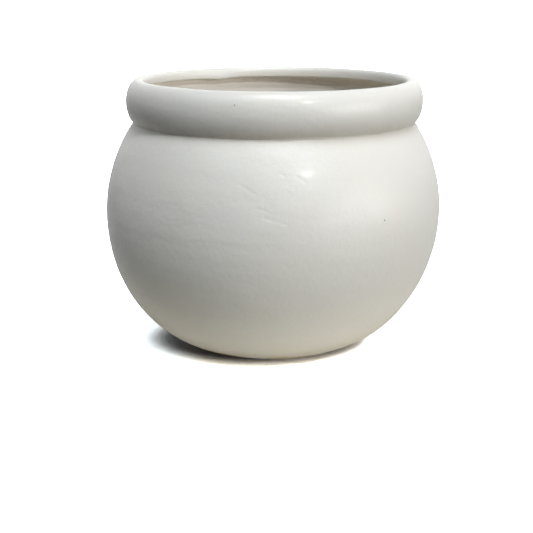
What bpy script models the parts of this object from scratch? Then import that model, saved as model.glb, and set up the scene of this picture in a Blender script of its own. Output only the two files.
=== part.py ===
"""A glazed garden pot with a round belly and a rolled rim, built from its clay pieces and its glaze.

Metres, +Z up. The origin is on the ground, under the middle of the foot. Every piece is turned about
Z from a closed outline of (radius, height) points. The driving sizes below are those of the finished,
glazed pot; the clay is smaller by the glaze that covers it.
"""

import math

import bpy

# Belly, over the glaze
BELLY_RADIUS = 0.1900
BELLY_HEIGHT = 0.1600  # from the ground to the widest circle
BELLY_LEVEL = 0.0026  # height at which the quarter ellipse below the widest circle would lie level
BELLY_BOTTOM_RADIUS = 0.0580  # the radius at which it would
BELLY_RISE = 0.1830  # height of the quarter ellipse above the widest circle
BELLY_TOP_RADIUS = -0.0027  # where that quarter ellipse would close, just past the axis
CREASE_RISE = 0.10135  # from the widest circle up to the crease, where the rim is joined on

# Rolled rim, over the glaze
ROLL_LIFT = 0.02355  # from the crease up to the roll's widest circle
ROLL_REACH = 0.0133  # from the crest out to the widest circle
ROLL_RISE = 0.0234  # from the widest circle up to the crest
ROLL_DROP = 0.0255  # from the widest circle down to where the roll would close
LIP_REACH = 0.0070  # from the crest in to the mouth
LIP_DROP = 0.0123  # from the crest down to the lip's free edge
LIP_THICKNESS = 0.0050
CREST_THICKNESS = 0.0070  # clay above the hollow of the roll

# Walls
WALL = 0.0090
FLOOR = 0.0130
DRAIN_RADIUS = 0.0125

# Foot ring
FOOT_SETBACK = 0.01555  # from the edge of the belly's underside in to the foot ring
FOOT_WIDTH = 0.0130
FOOT_HEIGHT = 0.0054

# Glaze and slip
GLAZE = 0.0008
GLAZE_LIFT = 0.0023  # from the belly's underside up to the glaze's lower edge
CREASE_POOL = 0.0016  # how far the glaze rounds off the crease under the rim
POOL_REACH = 0.0039  # how far below the crease it does
SLIP = 0.0012
SLIP_SETBACK = 0.0022  # from the slip to each edge of the joint that it fills
CLEARANCE = 0.0003  # between one piece and the next

# Rounding of the clay's edges
DRAIN_EDGE = 0.0020
FLOOR_CORNER = 0.0060
FOOT_EDGE = 0.0012
LIP_EDGE = 0.0018
NECK_EDGE = 0.0015

# Fineness
TURN_STEPS = 48
ARC_ANGLE = 10.0  # degrees between points of the belly, the same on each of its surfaces
ROLL_ANGLE = 18.0  # degrees between points of the roll and the lip
HOLLOW_ANGLE = 60.0  # degrees between points of the roll's hollow
ROLL_STEPS = 4  # from the roll's widest circle down to the joint
HOLLOW_STEPS = 5
POOL_STEPS = 5
EDGE_STEPS = 2
SHARP_ANGLE = 32.0
MERGE_DISTANCE = 1e-6

# Finishes: colour, roughness and clear coat
SATIN_GLAZE = ((0.80, 0.81, 0.775), 0.35, 0.3)
BARE_CLAY = ((0.62, 0.54, 0.42), 0.85, 0.0)
FOOT_CLAY = ((0.56, 0.48, 0.37), 0.9, 0.0)
SLIP_CLAY = ((0.50, 0.42, 0.32), 0.9, 0.0)

CLAY_INSET = GLAZE + CLEARANCE
BELLY_DROP = BELLY_HEIGHT - BELLY_LEVEL
BASE_HEIGHT = FOOT_HEIGHT + SLIP + 2 * CLEARANCE
FLOOR_HEIGHT = BASE_HEIGHT + FLOOR
GLAZE_STOP = BASE_HEIGHT + GLAZE_LIFT
JOINT_HEIGHT = BELLY_HEIGHT + CREASE_RISE
BODY_TOP = JOINT_HEIGHT - SLIP / 2 - CLEARANCE
RIM_BOTTOM = JOINT_HEIGHT + SLIP / 2 + CLEARANCE
ROLL_HEIGHT = JOINT_HEIGHT + ROLL_LIFT
CREST_HEIGHT = ROLL_HEIGHT + ROLL_RISE


def quarter(offset, size):
    """The other coordinate, as a share of its own axis, of a quarter ellipse at this offset."""
    return math.sqrt(max(0.0, 1 - (offset / size) ** 2))


def belly_radius(height, inset):
    """The belly's radius at a height, drawn in from the glazed surface by inset."""
    above = height - BELLY_HEIGHT
    middle, reach = (BELLY_TOP_RADIUS, BELLY_RISE) if above > 0 else (BELLY_BOTTOM_RADIUS, BELLY_DROP)
    return middle + (BELLY_RADIUS - inset - middle) * quarter(above, reach - inset)


def roll_share(height, inset):
    """How far out the roll's surface is at a height, as a share of its reach from the crest's radius."""
    above = height - ROLL_HEIGHT
    reach = ROLL_RISE if above > 0 else ROLL_DROP
    return quarter(above, reach - inset)


NECK_RADIUS = belly_radius(BODY_TOP, CLAY_INSET + WALL)
FOOT_RADIUS = belly_radius(BASE_HEIGHT, CLAY_INSET) - FOOT_SETBACK
# From the axis to the crest of the roll, which stands where the roll's clay meets the belly's at the crease
ROLL_RADIUS = (
    belly_radius(JOINT_HEIGHT, CLAY_INSET)
    - (ROLL_REACH - CLAY_INSET) * roll_share(JOINT_HEIGHT, CLAY_INSET)
)


def roll_radius(height, inset):
    """The roll's outer radius at a height, drawn in from the glazed surface by inset."""
    return ROLL_RADIUS + (ROLL_REACH - inset) * roll_share(height, inset)


def steps(start, end, count):
    """count + 1 even steps from start to end."""
    return [start + (end - start) * i / count for i in range(count + 1)]


def arc(centre, reach, rise, start, end, spacing):
    """Points of an ellipse about centre, from one angle in degrees to another; 0 points outwards, 90 up.

    Between its ends it has the angles that are multiples of spacing, so that the points of two
    surfaces that lie one over the other stand in step and their flats stay parallel. A multiple that
    comes within an eighth of a step of an end is left out.
    """
    low, high = min(start, end), max(start, end)
    between = [i * spacing for i in range(math.ceil(low / spacing), math.floor(high / spacing) + 1)]
    angles = [low, *(a for a in between if low + spacing / 8 < a < high - spacing / 8), high]
    return [
        (centre[0] + reach * math.cos(math.radians(a)), centre[1] + rise * math.sin(math.radians(a)))
        for a in (angles if start < end else reversed(angles))
    ]


def low_angle(height, inset):
    """The angle on the belly's lower ellipse, in degrees below level, at a height."""
    share = (BELLY_HEIGHT - height) / (BELLY_DROP - inset)
    return math.degrees(math.asin(min(1.0, share)))


def belly_upper(inset, top):
    """The belly above its widest circle, from top down to it."""
    rise = BELLY_RISE - inset
    start = math.degrees(math.asin(min(1.0, (top - BELLY_HEIGHT) / rise)))
    reach = BELLY_RADIUS - inset - BELLY_TOP_RADIUS
    return arc((BELLY_TOP_RADIUS, BELLY_HEIGHT), reach, rise, start, 0, ARC_ANGLE)


def belly_lower(inset, bottom):
    """The belly below its widest circle, from that circle down to bottom."""
    reach = BELLY_RADIUS - inset - BELLY_BOTTOM_RADIUS
    centre = (BELLY_BOTTOM_RADIUS, BELLY_HEIGHT)
    return arc(centre, reach, BELLY_DROP - inset, 0, -low_angle(bottom, inset), ARC_ANGLE)


def rounded(before, corner, after, radius):
    """An arc of about this radius in place of a corner, kept within half of each side."""
    before, corner, after = (complex(*point) for point in (before, corner, after))
    back, on = before - corner, after - corner
    half = abs(math.remainder(math.atan2(back.imag, back.real) - math.atan2(on.imag, on.real), math.tau)) / 2
    cut = min(radius / math.tan(half), abs(back) / 2, abs(on) / 2)
    start, end = corner + back / abs(back) * cut, corner + on / abs(on) * cut
    centre = corner + (back / abs(back) + on / abs(on)) * cut / (2 * math.cos(half) ** 2)
    first, last = start - centre, end - centre
    sweep = math.remainder(math.atan2(last.imag, last.real) - math.atan2(first.imag, first.real), math.tau)
    turned_to = [centre + first * complex(math.cos(a), math.sin(a)) for a in steps(0, sweep, EDGE_STEPS)]
    return [(point.real, point.imag) for point in turned_to]


def closed_outline(points):
    """A closed outline in which a point with a third number is a corner rounded to that radius."""
    outline = []
    for i, point in enumerate(points):
        if len(point) == 2:
            outline.append(point)
        else:
            outline += rounded(points[i - 1][:2], point[:2], points[(i + 1) % len(points)][:2], point[2])
    return outline


def plain_material(name, finish):
    """A plain ceramic surface of one finish."""
    colour, roughness, coat = finish
    material = bpy.data.materials.new(name)
    material.use_nodes = True
    shader = material.node_tree.nodes["Principled BSDF"]
    shader.inputs["Base Color"].default_value = (*colour, 1)
    shader.inputs["Roughness"].default_value = roughness
    shader.inputs["Metallic"].default_value = 0.0
    shader.inputs["Coat Weight"].default_value = coat
    return material


def turned(name, points, material, collection):
    """Turns a closed outline about Z. It runs down its outer side and back up its inner side."""
    outline = closed_outline(points)
    count = len(outline)
    mesh = bpy.data.meshes.new(name)
    mesh.from_pydata([(r, 0, z) for r, z in outline], [(i, (i + 1) % count) for i in range(count)], [])
    piece = bpy.data.objects.new(name, mesh)
    collection.objects.link(piece)
    screw = piece.modifiers.new("Turn", "SCREW")
    screw.axis = "Z"
    screw.angle = math.tau
    screw.steps = screw.render_steps = TURN_STEPS
    screw.use_merge_vertices = True
    screw.merge_threshold = MERGE_DISTANCE
    graph = bpy.context.evaluated_depsgraph_get()
    finished = bpy.data.meshes.new_from_object(piece.evaluated_get(graph))
    piece.modifiers.remove(screw)
    piece.data = finished
    bpy.data.meshes.remove(mesh)
    finished.name = name
    finished.shade_smooth()
    finished.set_sharp_from_angle(angle=math.radians(SHARP_ANGLE))
    finished.materials.append(material)
    return piece


def body(collection):
    """The belly wall and the pot's floor with its drain hole, open at the neck."""
    inner = CLAY_INSET + WALL
    points = belly_upper(CLAY_INSET, BODY_TOP)
    points += belly_lower(CLAY_INSET, BASE_HEIGHT)[1:]
    points += [(DRAIN_RADIUS, BASE_HEIGHT, DRAIN_EDGE), (DRAIN_RADIUS, FLOOR_HEIGHT, DRAIN_EDGE)]
    wall = belly_lower(inner, FLOOR_HEIGHT)[::-1]
    points += [(*wall[0], FLOOR_CORNER), *wall[1:]]
    points += [*belly_upper(inner, BODY_TOP)[:0:-1][1:], (NECK_RADIUS, BODY_TOP, NECK_EDGE)]
    return turned("body", points, plain_material("bare_clay", BARE_CLAY), collection)


def rolled_rim(collection):
    """The roll: out and up from the neck, over the crest, and down to a lip that hangs in the mouth."""
    outer_side = [(roll_radius(z, CLAY_INSET), z) for z in steps(ROLL_HEIGHT, RIM_BOTTOM, ROLL_STEPS)]
    hollow = ROLL_RADIUS + ROLL_REACH - CLAY_INSET - WALL
    lip_inside = ROLL_RADIUS - LIP_REACH + CLAY_INSET
    lip_back = lip_inside + LIP_THICKNESS
    lip_end = CREST_HEIGHT - LIP_DROP
    hollow_half = (hollow - lip_back) / 2
    hollow_top = CREST_HEIGHT - CLAY_INSET - CREST_THICKNESS - hollow_half
    crest = (ROLL_RADIUS, ROLL_HEIGHT)
    points = arc(crest, ROLL_REACH - CLAY_INSET, ROLL_RISE - CLAY_INSET, 90, 0, ROLL_ANGLE)
    points += outer_side[1:]
    # Inside, the wall eases from the neck out to the hollow, as a half wave
    points.append((NECK_RADIUS, RIM_BOTTOM, NECK_EDGE))
    for share in steps(0, 1, HOLLOW_STEPS)[1:]:
        out = (hollow - NECK_RADIUS) * math.sin(math.pi / 2 * share) ** 2
        points.append((NECK_RADIUS + out, RIM_BOTTOM + (ROLL_HEIGHT - RIM_BOTTOM) * share))
    points += arc((hollow - hollow_half, hollow_top), hollow_half, hollow_half, 0, 180, HOLLOW_ANGLE)
    points += [(lip_back, lip_end, LIP_EDGE), (lip_inside, lip_end, LIP_EDGE)]
    lip_rise = LIP_DROP - CLAY_INSET
    points += arc((ROLL_RADIUS, lip_end), LIP_REACH - CLAY_INSET, lip_rise, 180, 90, ROLL_ANGLE)[1:-1]
    return turned("rolled_rim", points, plain_material("rim_clay", BARE_CLAY), collection)


def foot_ring(collection):
    """A low ring with a flat standing face."""
    inside = FOOT_RADIUS - FOOT_WIDTH
    points = [
        (FOOT_RADIUS, FOOT_HEIGHT, FOOT_EDGE),
        (FOOT_RADIUS, 0, FOOT_EDGE),
        (inside, 0, FOOT_EDGE),
        (inside, FOOT_HEIGHT, FOOT_EDGE),
    ]
    return turned("foot_ring", points, plain_material("foot_clay", FOOT_CLAY), collection)


def luting_slip(name, inside, outside, low, material, collection):
    """A thin flat ring of slip between two pieces, set back from the edges of their joint."""
    inside, outside, high = inside + SLIP_SETBACK, outside - SLIP_SETBACK, low + SLIP
    points = [(outside, high), (outside, low), (inside, low), (inside, high)]
    return turned(name, points, material, collection)


def glazed_side(inset):
    """The glazed surface drawn in by inset, from the lip's free edge over the rim and down to the foot."""
    crest = (ROLL_RADIUS, ROLL_HEIGHT)
    lip_end = CREST_HEIGHT - LIP_DROP
    side = arc((ROLL_RADIUS, lip_end), LIP_REACH - inset, LIP_DROP - inset, 180, 90, ROLL_ANGLE)
    side += arc(crest, ROLL_REACH - inset, ROLL_RISE - inset, 90, 0, ROLL_ANGLE)[1:]
    # From the roll's widest circle to a little below the crease, where the glaze pools, its radius is
    # the larger of the roll's and the belly's, smoothed by CREASE_POOL
    pool_end = JOINT_HEIGHT - POOL_REACH
    for z in steps(ROLL_HEIGHT, JOINT_HEIGHT, POOL_STEPS)[1:] + [pool_end]:
        roll, belly = roll_radius(z, inset), belly_radius(z, inset)
        side.append(((roll + belly + math.hypot(roll - belly, CREASE_POOL)) / 2, z))
    side += belly_upper(inset, pool_end)[1:]
    side += belly_lower(inset, GLAZE_STOP)[1:]
    return side


def glaze_coat(collection):
    """One skin of satin glaze over the outside."""
    points = glazed_side(0) + glazed_side(GLAZE)[::-1]
    return turned("glaze_coat", points, plain_material("satin_glaze", SATIN_GLAZE), collection)


def main():
    """Clears the scene and builds the pot in its own collection."""
    for old in list(bpy.data.objects):
        bpy.data.objects.remove(old, do_unlink=True)
    collection = bpy.data.collections.new("rolled_rim_pot")
    bpy.context.scene.collection.children.link(collection)
    slip = plain_material("luting_slip", SLIP_CLAY)
    body(collection)
    rolled_rim(collection)
    foot_ring(collection)
    glaze_coat(collection)
    luting_slip(
        "rim_luting_slip",
        belly_radius(JOINT_HEIGHT, CLAY_INSET + WALL),
        belly_radius(JOINT_HEIGHT, CLAY_INSET),
        JOINT_HEIGHT - SLIP / 2,
        slip,
        collection,
    )
    luting_slip(
        "foot_luting_slip",
        FOOT_RADIUS - FOOT_WIDTH,
        FOOT_RADIUS,
        FOOT_HEIGHT + CLEARANCE,
        slip,
        collection,
    )


main()
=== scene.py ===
"""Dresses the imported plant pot: thrown clay, slip and a satin glaze, on a pale floor in soft studio light.

Metres, +Z up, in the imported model's own frame. Every piece of the pot is a closed outline of (radius,
height) points turned about Z. Its own relief raises or sinks its surface, and one field that all the
pieces share then leans and warps it as the maker's hand did, so that what touches stays touching.
"""

import logging
import math
from collections.abc import Callable, Iterable
from dataclasses import dataclass
from enum import Enum

import bpy
import numpy as np
from mathutils import Euler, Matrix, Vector


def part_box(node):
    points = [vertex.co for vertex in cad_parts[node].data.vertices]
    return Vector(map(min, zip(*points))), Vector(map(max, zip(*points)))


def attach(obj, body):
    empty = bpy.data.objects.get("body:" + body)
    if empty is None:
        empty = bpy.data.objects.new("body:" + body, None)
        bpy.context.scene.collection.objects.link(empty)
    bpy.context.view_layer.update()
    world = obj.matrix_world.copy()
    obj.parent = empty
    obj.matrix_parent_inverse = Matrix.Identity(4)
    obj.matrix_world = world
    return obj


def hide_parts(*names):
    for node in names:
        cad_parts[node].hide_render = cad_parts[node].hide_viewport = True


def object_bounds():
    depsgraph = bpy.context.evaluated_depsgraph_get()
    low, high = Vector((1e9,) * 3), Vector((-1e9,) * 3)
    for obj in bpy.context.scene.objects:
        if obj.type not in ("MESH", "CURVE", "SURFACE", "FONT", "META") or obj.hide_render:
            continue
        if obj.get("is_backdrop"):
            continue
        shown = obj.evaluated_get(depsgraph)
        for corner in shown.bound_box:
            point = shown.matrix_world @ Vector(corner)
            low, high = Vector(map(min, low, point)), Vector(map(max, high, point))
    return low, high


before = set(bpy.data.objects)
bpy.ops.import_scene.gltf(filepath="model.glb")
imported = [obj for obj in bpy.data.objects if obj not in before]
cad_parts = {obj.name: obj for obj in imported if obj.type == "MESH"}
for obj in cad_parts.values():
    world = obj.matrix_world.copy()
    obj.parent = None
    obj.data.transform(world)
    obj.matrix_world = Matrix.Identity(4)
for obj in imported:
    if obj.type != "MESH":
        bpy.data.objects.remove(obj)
cad_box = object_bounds()

LOG = logging.getLogger("plant_pot")
MILLIMETRES = 1000.0
SEAM_OVERLAP = 0.0003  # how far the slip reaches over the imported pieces' clearance on each side
Point = tuple[float, float]
Place = tuple[float, float, float]
Colour = tuple[float, float, float]
Link = bpy.types.NodeSocket
# a pale slip wash; on the rim it also stands in for sunlit clay, as painted light
PALE_WASH_AND_PAINTED_LIGHT: Colour = (0.880, 0.850, 0.785)


class Slot(Enum):
    """The record's material slots."""

    SATIN_GLAZE = "satin_glaze"
    BARE_CLAY = "bare_clay"
    RIM_CLAY = "rim_clay"
    FOOT_CLAY = "foot_clay"
    LUTING_SLIP = "luting_slip"


def smooth_step(value: np.ndarray, low: float, high: float) -> np.ndarray:
    """Rises from 0 at low to 1 at high as 3t^2 - 2t^3, where t is the clipped share of the way."""
    share = np.clip((value - low) / (high - low), 0.0, 1.0)
    return share * share * (3.0 - 2.0 * share)


def paired(radius: np.ndarray, height: np.ndarray) -> np.ndarray:
    """An outline's points as (radius, height) rows."""
    return np.stack([radius, height], axis=-1)


def ellipse(centre: Point, reach: float, rise: float, start: float, end: float) -> np.ndarray:
    """Points of an ellipse, a degree or less apart: centre + (reach cos a, rise sin a).

    Args:
        centre: Radius and height of the ellipse's centre.
        reach: Half axis along the radius.
        rise: Half axis along the height.
        start: First angle in degrees, 0 pointing outwards and 90 up.
        end: Last angle in degrees.

    Returns:
        An array of (radius, height) rows.
    """
    angles = np.radians(np.linspace(start, end, int(abs(end - start)) + 2))
    return paired(centre[0] + reach * np.cos(angles), centre[1] + rise * np.sin(angles))


def sunk(points: np.ndarray, depth: float | np.ndarray) -> np.ndarray:
    """Moves an open outline into the clay, which lies to the right of the way that it runs.

    Args:
        points: (radius, height) rows, no two of them alike.
        depth: How far, once for all the points or once for each.

    Returns:
        The points less depth times the unit normal on their left.
    """
    along = np.gradient(points, axis=0)
    along /= np.linalg.norm(along, axis=-1, keepdims=True)
    return points - paired(-along[:, 1], along[:, 0]) * np.reshape(depth, (-1, 1))


def respaced(points: np.ndarray, count: int, turn_length: float = 0.006) -> np.ndarray:
    """The same open outline in count points, which stand closer together where it bends.

    The share of the points up to a place is the running sum of each step's length and of the angle
    that the outline turns there, a radian counting as much as turn_length.

    Args:
        points: The outline, more finely stepped than count.
        count: How many points to return.
        turn_length: The length in metres that a radian of turning counts for.

    Returns:
        An array of (radius, height) rows.
    """
    step = np.diff(points, axis=0)
    heading = np.unwrap(np.arctan2(step[:, 1], step[:, 0]))
    turn = np.abs(np.gradient(heading)) if len(heading) > 1 else np.zeros(1)
    weight = np.linalg.norm(step, axis=-1) + turn_length * turn
    place = np.concatenate([[0.0], np.cumsum(weight)])
    wanted = np.linspace(0.0, place[-1], count)
    return paired(*(np.interp(wanted, place, values) for values in points.T))


def placed(name: str, data: bpy.types.ID) -> bpy.types.Object:
    """Puts a new object into the scene, at the origin.

    Args:
        name: The object's name.
        data: Its mesh, light or camera.

    Returns:
        The object.
    """
    made = bpy.data.objects.new(name, data)
    bpy.context.scene.collection.objects.link(made)
    return made


@dataclass(frozen=True)
class Waves:
    """Smooth solid unevenness: plane sine waves in scattered directions, which add up to about height."""

    seed: int
    wavelength: float
    height: float
    count: int = 24
    shortest: float = 0.7
    longest: float = 1.5

    def at(self, points: np.ndarray) -> np.ndarray:
        """The unevenness at places in space.

        Args:
            points: An array of any shape whose last axis is (x, y, z).

        Returns:
            One number for each place.
        """
        rng = np.random.default_rng(self.seed)
        ways = rng.normal(size=(self.count, 3))
        ways /= np.linalg.norm(ways, axis=-1, keepdims=True)
        lengths = self.wavelength * rng.uniform(self.shortest, self.longest, size=(self.count, 1))
        phases = rng.uniform(0.0, math.tau, size=self.count)
        turns = points @ (math.tau * ways / lengths).T + phases
        return self.height * (np.sin(turns).sum(axis=-1) / math.sqrt(self.count))


@dataclass(frozen=True)
class PotForm:
    """The pot's glazed outline before the hand's unevenness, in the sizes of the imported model.

    The belly is two quarter ellipses that meet at its widest circle, and the rolled rim two more. Where
    they cross, a crease, the glaze pools: the radius there is the larger of the two, smoothed.
    """

    belly_radius: float
    crest_height: float
    joint_height: float
    base_height: float
    glaze_stop: float
    foot_radius: float
    foot_height: float
    belly_height: float = 0.1600
    belly_level: float = 0.0026
    belly_bottom_radius: float = 0.0580
    belly_rise: float = 0.1830
    belly_top_radius: float = -0.0027
    roll_radius: float = 0.1532
    roll_reach: float = 0.0133
    roll_rise: float = 0.0234
    roll_drop: float = 0.0255
    lip_reach: float = 0.0070
    lip_bend: float = 3.2
    lip_edge_drop: float = 0.0103
    lip_half: float = 0.0033
    lip_round: float = 0.0016
    crease_pool: float = 0.0016
    glaze: float = 0.0008
    wall: float = 0.0090
    floor: float = 0.0130
    joint_gap: float = 0.0006
    foot_width: float = 0.0130
    drain_radius: float = 0.0125
    crease_steps: int = 2500

    @classmethod
    def from_frame(cls) -> "PotForm":
        """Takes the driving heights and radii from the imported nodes' boxes.

        Returns:
            The pot's form.
        """
        glaze_low, glaze_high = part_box("glaze_coat")
        body_low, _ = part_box("body")
        slip_low, slip_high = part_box("rim_luting_slip")
        _, foot_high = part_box("foot_ring")
        return cls(
            belly_radius=glaze_high.x,
            crest_height=glaze_high.z,
            joint_height=(slip_low.z + slip_high.z) / 2,
            base_height=body_low.z,
            glaze_stop=glaze_low.z,
            foot_radius=foot_high.x,
            foot_height=foot_high.z,
        )

    @property
    def roll_height(self) -> float:
        """Height of the roll's widest circle."""
        return self.crest_height - self.roll_rise

    @property
    def neck_radius(self) -> float:
        """Radius of the bare clay inside the joint of rim and belly."""
        return float(self.belly(np.array(self.joint_height))) - self.glaze - self.wall - self.joint_gap

    @property
    def floor_height(self) -> float:
        """Height of the floor that the soil rests on."""
        return self.base_height + self.floor

    def belly(self, height: np.ndarray) -> np.ndarray:
        """The belly's glazed radius: the quarter's middle + its reach times sqrt(1 - (rise / half axis)^2).

        Args:
            height: Heights of any array shape.

        Returns:
            The radius at each height.
        """
        above = height - self.belly_height
        upper = above > 0
        middle = np.where(upper, self.belly_top_radius, self.belly_bottom_radius)
        half = np.where(upper, self.belly_rise, self.belly_height - self.belly_level)
        return middle + (self.belly_radius - middle) * np.sqrt(np.clip(1 - (above / half) ** 2, 0, None))

    def roll(self, height: np.ndarray) -> np.ndarray:
        """The roll's glazed radius at each height below its widest circle, by the same formula."""
        share = (height - self.roll_height) / self.roll_drop
        return self.roll_radius + self.roll_reach * np.sqrt(np.clip(1 - share**2, 0, None))

    @property
    def lip_centre(self) -> Point:
        """Centre of the lip's round free edge."""
        return (self.roll_radius - self.lip_reach + self.lip_half, self.crest_height - self.lip_edge_drop)

    def lip_face(self) -> np.ndarray:
        """The glazed lip's side to the mouth, up to the crest.

        It is a quarter of a squarer ellipse, on which the two shares of the half axes, each raised to
        lip_bend, add up to 1, so that the crest turns down into the mouth in a short bend.

        Returns:
            An array of (radius, height) rows.
        """
        share = np.abs(ellipse((0.0, 0.0), 1.0, 1.0, 180.0, 90.0)) ** (2.0 / self.lip_bend)
        radius = self.roll_radius - self.lip_reach * share[:, 0]
        return paired(radius, self.lip_centre[1] + self.lip_edge_drop * share[:, 1])

    def lip_edge(self, start: float, end: float, depth: float = 0.0) -> np.ndarray:
        """The lip's free edge between two angles in degrees, 180 facing the mouth, depth under the glaze."""
        return ellipse(self.lip_centre, self.lip_half - depth, self.lip_round - depth, start, end)

    def outside(self, low: float) -> np.ndarray:
        """The glazed side from the crest, over the roll and the crease, and down the belly.

        From the roll's widest circle to the belly's the radius is half of
        roll + belly + sqrt((roll - belly)^2 + crease_pool^2), moved to meet the roll's widest circle.

        Args:
            low: The height that it ends at.

        Returns:
            An array of (radius, height) rows.
        """
        top = ellipse((self.roll_radius, self.roll_height), self.roll_reach, self.roll_rise, 90.0, 0.0)
        heights = np.linspace(self.roll_height, self.belly_height, self.crease_steps)
        roll, belly = self.roll(heights), self.belly(heights)
        middle = paired((roll + belly + np.hypot(roll - belly, self.crease_pool)) / 2, heights)
        middle[:, 0] += (self.roll_radius + self.roll_reach - middle[0, 0]) * smooth_step(
            heights, self.joint_height, self.roll_height
        )
        drop = self.belly_height - self.belly_level
        last = math.degrees(math.asin((self.belly_height - low) / drop))
        reach = self.belly_radius - self.belly_bottom_radius
        bottom = ellipse((self.belly_bottom_radius, self.belly_height), reach, drop, 0.0, -last)
        return np.concatenate([top[:-1], middle[:-1], bottom])

    def on_outside(self, angle: float, height: float) -> np.ndarray:
        """A place on the glazed outside.

        Args:
            angle: Its angle about the pot's axis in degrees.
            height: Its height.

        Returns:
            Its (x, y, z).
        """
        line = self.outside(self.glaze_stop)[::-1]
        radius = float(np.interp(height, line[:, 1], line[:, 0]))
        turn = math.radians(angle)
        return np.array([radius * math.cos(turn), radius * math.sin(turn), height])


@dataclass(frozen=True)
class Sag:
    """One place where the lip's edge hangs lower, or higher where rise is above 0."""

    angle: float
    half_width: float
    rise: float


@dataclass(frozen=True)
class Hand:
    """The maker's unevenness, one smooth field in space that bends every piece alike."""

    form: PotForm
    lean: float = 0.0146
    ovalness: float = 0.0007
    oval_turn: float = 0.9
    level_below: float = 0.012
    free_above: float = 0.060
    lip_within: float = 0.0004
    lip_ends: float = 0.0024
    hollow_below: float = 0.0020
    hollow_above: float = 0.0060
    sags: tuple[Sag, ...] = (
        Sag(117.0, 4.5, -0.0016),
        Sag(122.0, 17.0, -0.0008),
        Sag(18.0, 22.0, -0.0008),
        Sag(205.0, 14.0, -0.0007),
        Sag(262.0, 6.0, -0.0009),
        Sag(318.0, 20.0, 0.0006),
    )
    warp: Waves = Waves(seed=4, wavelength=0.30, height=0.0008, count=12)

    def lip_rise(self, angle: np.ndarray) -> np.ndarray:
        """How much higher the lip's edge is: the sum of the sags' bell curves.

        Args:
            angle: Angles about the pot's axis in radians.

        Returns:
            The rise at each angle.
        """
        total = np.zeros_like(angle)
        for sag in self.sags:
            apart = np.remainder(np.degrees(angle) - sag.angle + 180.0, 360.0) - 180.0
            total += sag.rise * np.exp(-((apart / sag.half_width) ** 2))
        return total

    def bend(self, points: np.ndarray) -> np.ndarray:
        """Moves points of an (..., 3) array.

        The radius grows and shrinks twice a turn and with the warp's waves, more and more from
        level_below to free_above. The lip's edge rises by lip_rise where a point is inside the roll's
        crest and above its hollow, and x shifts by lean times the height.

        Args:
            points: Places before the hand's unevenness.

        Returns:
            The places after it, in the same shape.
        """
        x, y, z = points[..., 0], points[..., 1], points[..., 2]
        angle, radius = np.arctan2(y, x), np.hypot(x, y)
        form = self.form
        free = smooth_step(z, self.level_below, self.free_above)
        grown = 1.0 + free * (self.ovalness * np.cos(2 * angle - self.oval_turn) + self.warp.at(points))
        lip_inside, lip_outside = form.roll_radius - self.lip_within, form.roll_radius + self.lip_ends
        on_lip = 1.0 - smooth_step(radius, lip_inside, lip_outside)
        below_crest = smooth_step(form.crest_height - z, 0.0, form.lip_edge_drop)
        hollow_low, hollow_high = form.roll_height - self.hollow_below, form.roll_height + self.hollow_above
        above_hollow = smooth_step(z, hollow_low, hollow_high)
        rise = self.lip_rise(angle) * on_lip * below_crest * above_hollow
        return np.stack([x * grown + self.lean * z, y * grown, z + rise], axis=-1)


def operator(operation: str, reflected: bool = False) -> Callable[["Signal", "Signal | float"], "Signal"]:
    """One of Signal's operators on two numbers.

    Args:
        operation: The Math node's operation.
        reflected: Whether the other number comes first.

    Returns:
        The operator's method.
    """

    def method(signal: "Signal", other: "Signal | float") -> "Signal":
        """Adds the node for the two numbers."""
        operands = (other, signal) if reflected else (signal, other)
        return signal.shader.math(operation, *operands)

    return method


class Signal:
    """A number on a shader socket, on which Python's operators add Math nodes; a | b is the larger."""

    def __init__(self, shader: "Shader", socket: Link) -> None:
        """Keeps the shader that the number belongs to and the socket that it leaves from."""
        self.shader = shader
        self.socket = socket

    __add__ = operator("ADD")
    __radd__ = operator("ADD", reflected=True)
    __mul__ = operator("MULTIPLY")
    __rmul__ = operator("MULTIPLY", reflected=True)
    __sub__ = operator("SUBTRACT")
    __rsub__ = operator("SUBTRACT", reflected=True)
    __or__ = operator("MAXIMUM")

    def __abs__(self) -> "Signal":
        """The number without its sign."""
        return self.shader.math("ABSOLUTE", self)

    def clamped(self) -> "Signal":
        """The number kept between 0 and 1."""
        return self.shader.math("ADD", self, 0.0, clamp=True)

    def swing(self, amount: float) -> "Signal":
        """How far the number is from a half, times amount."""
        return (self - 0.5) * amount

    def rising(self, low: float, high: float) -> "Signal":
        """A smooth step from 0 to 1, which falls where low is above high.

        Args:
            low: The number at and before which the step is 0.
            high: The number from which it is 1.

        Returns:
            The step's height.
        """
        values = {"Value": self, "From Min": low, "From Max": high, "To Min": 0.0, "To Max": 1.0}
        settings = {"interpolation_type": "SMOOTHSTEP", "clamp": True}
        return self.shader.node("ShaderNodeMapRange", settings, values).number("Result")


@dataclass(frozen=True)
class Step:
    """A node in a shader's tree, from which numbers, colours and vectors leave."""

    shader: "Shader"
    made: bpy.types.Node

    def number(self, output: str | int = 0) -> Signal:
        """An output as a number."""
        return Signal(self.shader, self.made.outputs[output])

    def link(self, output: str | int = 0) -> Link:
        """An output as a colour, a vector or a shader."""
        return self.made.outputs[output]


@dataclass(frozen=True)
class Mottle:
    """Solid noise: the length of its largest waves, how often they are halved and how much each adds."""

    size: float
    detail: float = 3.0
    roughness: float = 0.5


@dataclass(frozen=True)
class Specks:
    """Small round specks: about how far apart they are, and their radius, a core of which is solid."""

    spacing: float
    radius: float
    core: float = 0.35


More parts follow.
